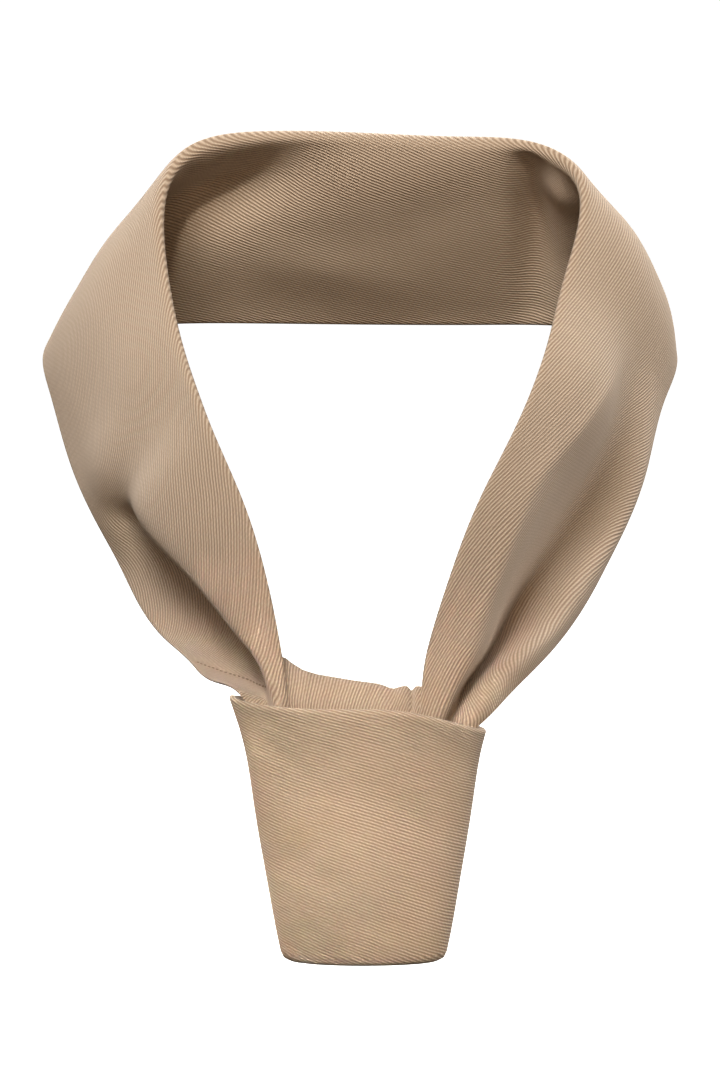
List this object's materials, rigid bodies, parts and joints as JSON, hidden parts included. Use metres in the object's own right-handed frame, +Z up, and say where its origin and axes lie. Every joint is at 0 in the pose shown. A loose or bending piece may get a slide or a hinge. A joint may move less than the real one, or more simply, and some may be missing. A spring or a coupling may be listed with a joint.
{
  "type": "triangle scarf",
  "caption": "Triangle scarf in twill, folded to a band round a neck opening, tied in front with a broad tapering wrapped knot.",
  "frame": {"origin": "middle of the neck opening, between the nape and the knot, where the wearer's neck passes through", "axes": "+Z up along the neck, -Y towards the front of the wearer, where the knot lies, +X to the right seen from the front"},
  "size_m": [0.1955, 0.174, 0.2183],
  "materials": {
    "cloth": "matt beige twill with fine raised diagonal lines and a slight sparkle"
  },
  "bodies": {
    "root": {"neck_band": "cloth", "knot_wrap": "cloth", "tuck_pass": "cloth"}
  },
  "joints": []
}
